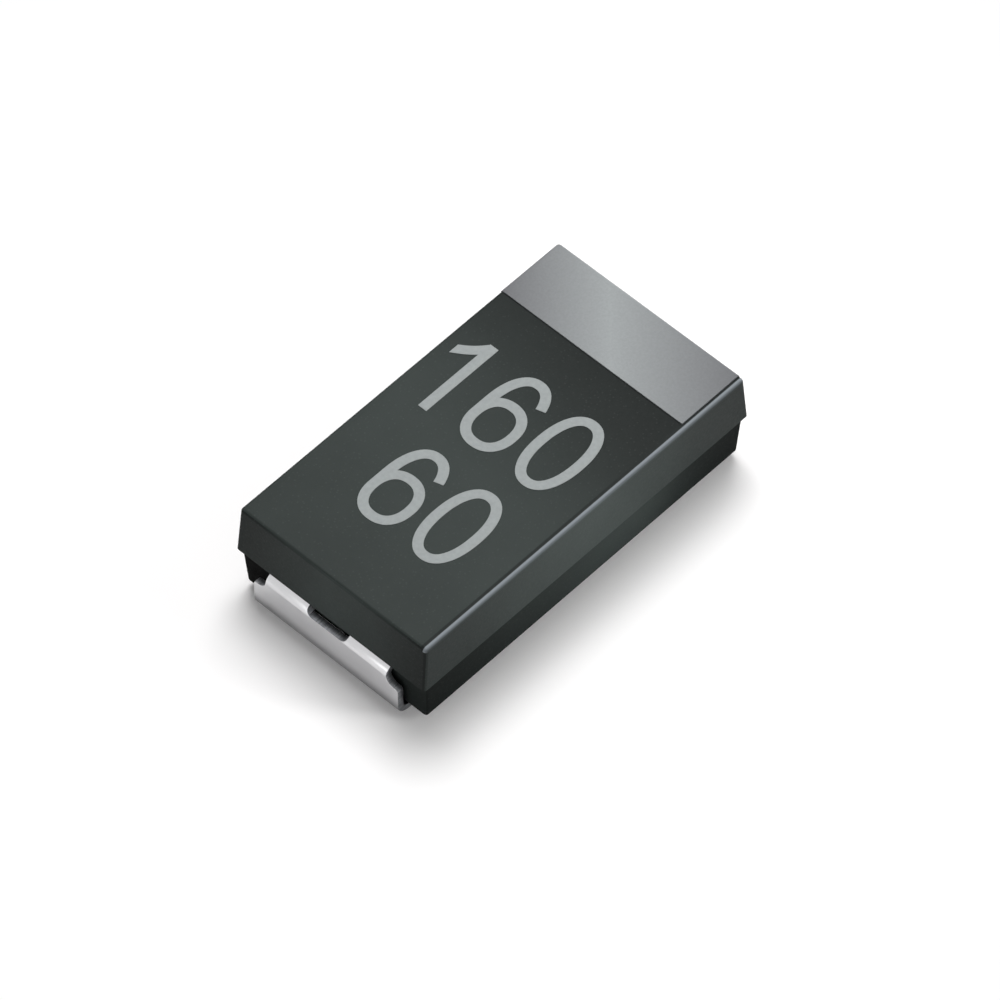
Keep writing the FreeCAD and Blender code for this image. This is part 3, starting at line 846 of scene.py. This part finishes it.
class CAPACITOR_OT_inside(bpy.types.Operator):
    """Finish the pieces inside the case"""
    bl_idname = "capacitor.inside"
    bl_label = "Inner pieces"

    def execute(self, context):
        even, drawn = (1.0, 1.0, 1.0), (0.04, 1.0, 1.0)
        finishes = (
            ("anode_slug", "sintered_tantalum",
             "#4c4f56", "#85878d", 0.03, even, 0.6, 0.62, 0.004),
            ("riser_wire", "drawn_tantalum_wire",
             "#84878f", "#a6a9b0", 0.02, drawn, 1.0, 0.34, 0.001),
            ("insulating_washer", "punched_ptfe",
             "#e2e2dd", "#f1f1ec", 0.08, even, 0.0, 0.45, 0.001),
            ("dioxide_coat", "manganese_dioxide",
             "#191512", "#3a322c", 0.025, even, 0.0, 0.75, 0.004),
            ("graphite_coat", "graphite_paint",
             "#242527", "#3f4144", 0.04, even, 0.1, 0.55, 0.001),
            ("silver_coat", "silver_paint",
             "#9c9ea1", "#c9cbcd", 0.03, even, 0.8, 0.46, 0.001),
            ("silver_adhesive", "silver_adhesive_paste",
             "#8d8f92", "#bcbec0", 0.05, even, 0.5, 0.55, 0.002),
            ("weld_bead", "resistance_weld_nugget",
             "#77787c", "#a7a8ab", 0.05, even, 1.0, 0.38, 0.003),
        )
        for node, *values in finishes:
            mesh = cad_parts[node].data
            mesh.materials.clear()
            mesh.materials.append(inner_finish(*values))
        return {"FINISHED"}


class CAPACITOR_OT_stage(bpy.types.Operator):
    """Set up the floor, the lights and the camera"""
    bl_idname = "capacitor.stage"
    bl_label = "Stage"

    def execute(self, context):
        scene = context.scene
        sizes = scene.capacitor_stage
        scene.view_settings.view_transform = "Standard"

        # Floor: white paper that keeps the shadow and fades into the plain background further out
        mesh = bpy.data.meshes.new("floor")
        reach, level = 120 * MM, -0.001 * MM
        mesh.from_pydata([(-reach, -reach, level), (reach, -reach, level), (reach, reach, level),
                          (-reach, reach, level)], [], [(0, 1, 2, 3)])
        floor = placed("floor", mesh)
        paper, tree = material("white_paper_floor")
        place = add(tree, "ShaderNodeTexCoord", out="Object")
        distance = add(tree, "ShaderNodeVectorMath", {0: place}, out="Value", operation="LENGTH")
        fade = add(tree, "ShaderNodeMapRange", {
            "Value": distance, "From Min": 5 * MM, "From Max": 11 * MM},
            interpolation_type="SMOOTHSTEP")
        seen = looked_at(tree)
        diffuse = add(tree, "ShaderNodeBsdfDiffuse", {"Color": opaque("#f6f5f5")})
        lift = add(tree, "ShaderNodeMath", {0: seen, 1: 0.10}, operation="MULTIPLY")
        glow = add(tree, "ShaderNodeEmission", {"Strength": lift})
        near = add(tree, "ShaderNodeAddShader", {0: diffuse, 1: glow})
        plain = add(tree, "ShaderNodeEmission", {"Strength": 1.0})
        amount = add(tree, "ShaderNodeMath", {0: fade, 1: seen}, operation="MULTIPLY")
        shader = add(tree, "ShaderNodeMixShader", {0: amount, 1: near, 2: plain})
        add(tree, "ShaderNodeOutputMaterial", {"Surface": shader})
        mesh.materials.append(paper)

        # Surroundings: plain and soft for the object, white behind it
        world = bpy.data.worlds.new("plain_surroundings")
        scene.world = world
        world.use_nodes = True
        tree = world.node_tree
        tree.nodes.clear()
        strength = add(tree, "ShaderNodeMapRange", {"Value": looked_at(tree), "To Min": sizes.sky})
        shell = add(tree, "ShaderNodeBackground", {"Strength": strength})
        add(tree, "ShaderNodeOutputWorld", {"Surface": shell})

        def soft_light(name, direction, distance, width, height, radiance):
            light = bpy.data.lights.new(name, "AREA")
            light.shape = "RECTANGLE"
            light.size, light.size_y = width, height
            light.energy = radiance * math.pi * width * height
            lamp = placed(name, light)
            towards = Vector(direction).normalized()
            lamp.location = towards * distance
            lamp.rotation_mode = "QUATERNION"
            lamp.rotation_quaternion = towards.to_track_quat("Z", "Y")
            lamp.visible_camera = False

        soft_light("overhead_softbox", (0.34, 0.30, 1.0), 0.06, 0.036, 0.036, sizes.overhead)
        soft_light("side_panel", (0.44, -0.78, 0.30), 0.05, 0.010, 0.045, sizes.panel)
        soft_light("fill_softbox", (-1.0, -0.15, 0.35), 0.05, 0.04, 0.02, sizes.fill)

        # Camera: the photograph's viewing angle and framing
        azimuth, elevation = math.radians(-46.7), math.radians(53.1)
        distance, focal_length = 112.8 * MM, 326.9
        right_by, up_by = 0.080 * MM, 0.182 * MM
        back = Vector((
            math.sin(azimuth) * math.cos(elevation),
            -math.cos(azimuth) * math.cos(elevation),
            math.sin(elevation),
        ))
        right = Vector((math.cos(azimuth), math.sin(azimuth), 0.0))
        aim = Vector((0.0, 0.0, CASE_LOW.z)) + right * right_by + back.cross(right) * up_by
        data = bpy.data.cameras.new("camera")
        data.sensor_width = 36.0
        data.lens = focal_length
        data.clip_start, data.clip_end = 0.01, 1.0
        camera = placed("camera", data)
        camera.location = aim + back * distance
        camera.rotation_mode = "QUATERNION"
        camera.rotation_quaternion = (-back).to_track_quat("-Z", "Y")
        scene.camera = camera
        return {"FINISHED"}


class CAPACITOR_PT_panel(bpy.types.Panel):
    """Steps that dress the capacitor, with their sizes and colours"""
    bl_label = "Chip capacitor"
    bl_idname = "CAPACITOR_PT_panel"
    bl_space_type = "VIEW_3D"
    bl_region_type = "UI"
    bl_category = "Capacitor"

    def draw(self, context):
        for step in STEPS:
            self.layout.operator(step.bl_idname)
        for name in GROUPS:
            group = getattr(context.scene, name)
            box = self.layout.box()
            for key in group.__annotations__:
                box.prop(group, key)


GROUPS = {
    "capacitor_case": CaseSettings,
    "capacitor_terminals": TerminalSettings,
    "capacitor_print": PrintSettings,
    "capacitor_stage": StageSettings,
}
STEPS = (
    CAPACITOR_OT_case, CAPACITOR_OT_terminals, CAPACITOR_OT_band, CAPACITOR_OT_numerals,
    CAPACITOR_OT_inside, CAPACITOR_OT_stage,
)


def register():
    for kind in (*GROUPS.values(), *STEPS, CAPACITOR_PT_panel):
        bpy.utils.register_class(kind)
    for name, kind in GROUPS.items():
        setattr(bpy.types.Scene, name, PointerProperty(type=kind))


def unregister():
    for name in GROUPS:
        delattr(bpy.types.Scene, name)
    for kind in (CAPACITOR_PT_panel, *STEPS, *GROUPS.values()):
        bpy.utils.unregister_class(kind)


def main():
    register()
    bpy.ops.capacitor.case()
    bpy.ops.capacitor.terminals()
    bpy.ops.capacitor.band()
    bpy.ops.capacitor.numerals()
    bpy.ops.capacitor.inside()
    bpy.ops.capacitor.stage()


if __name__ == "__main__":
    main()
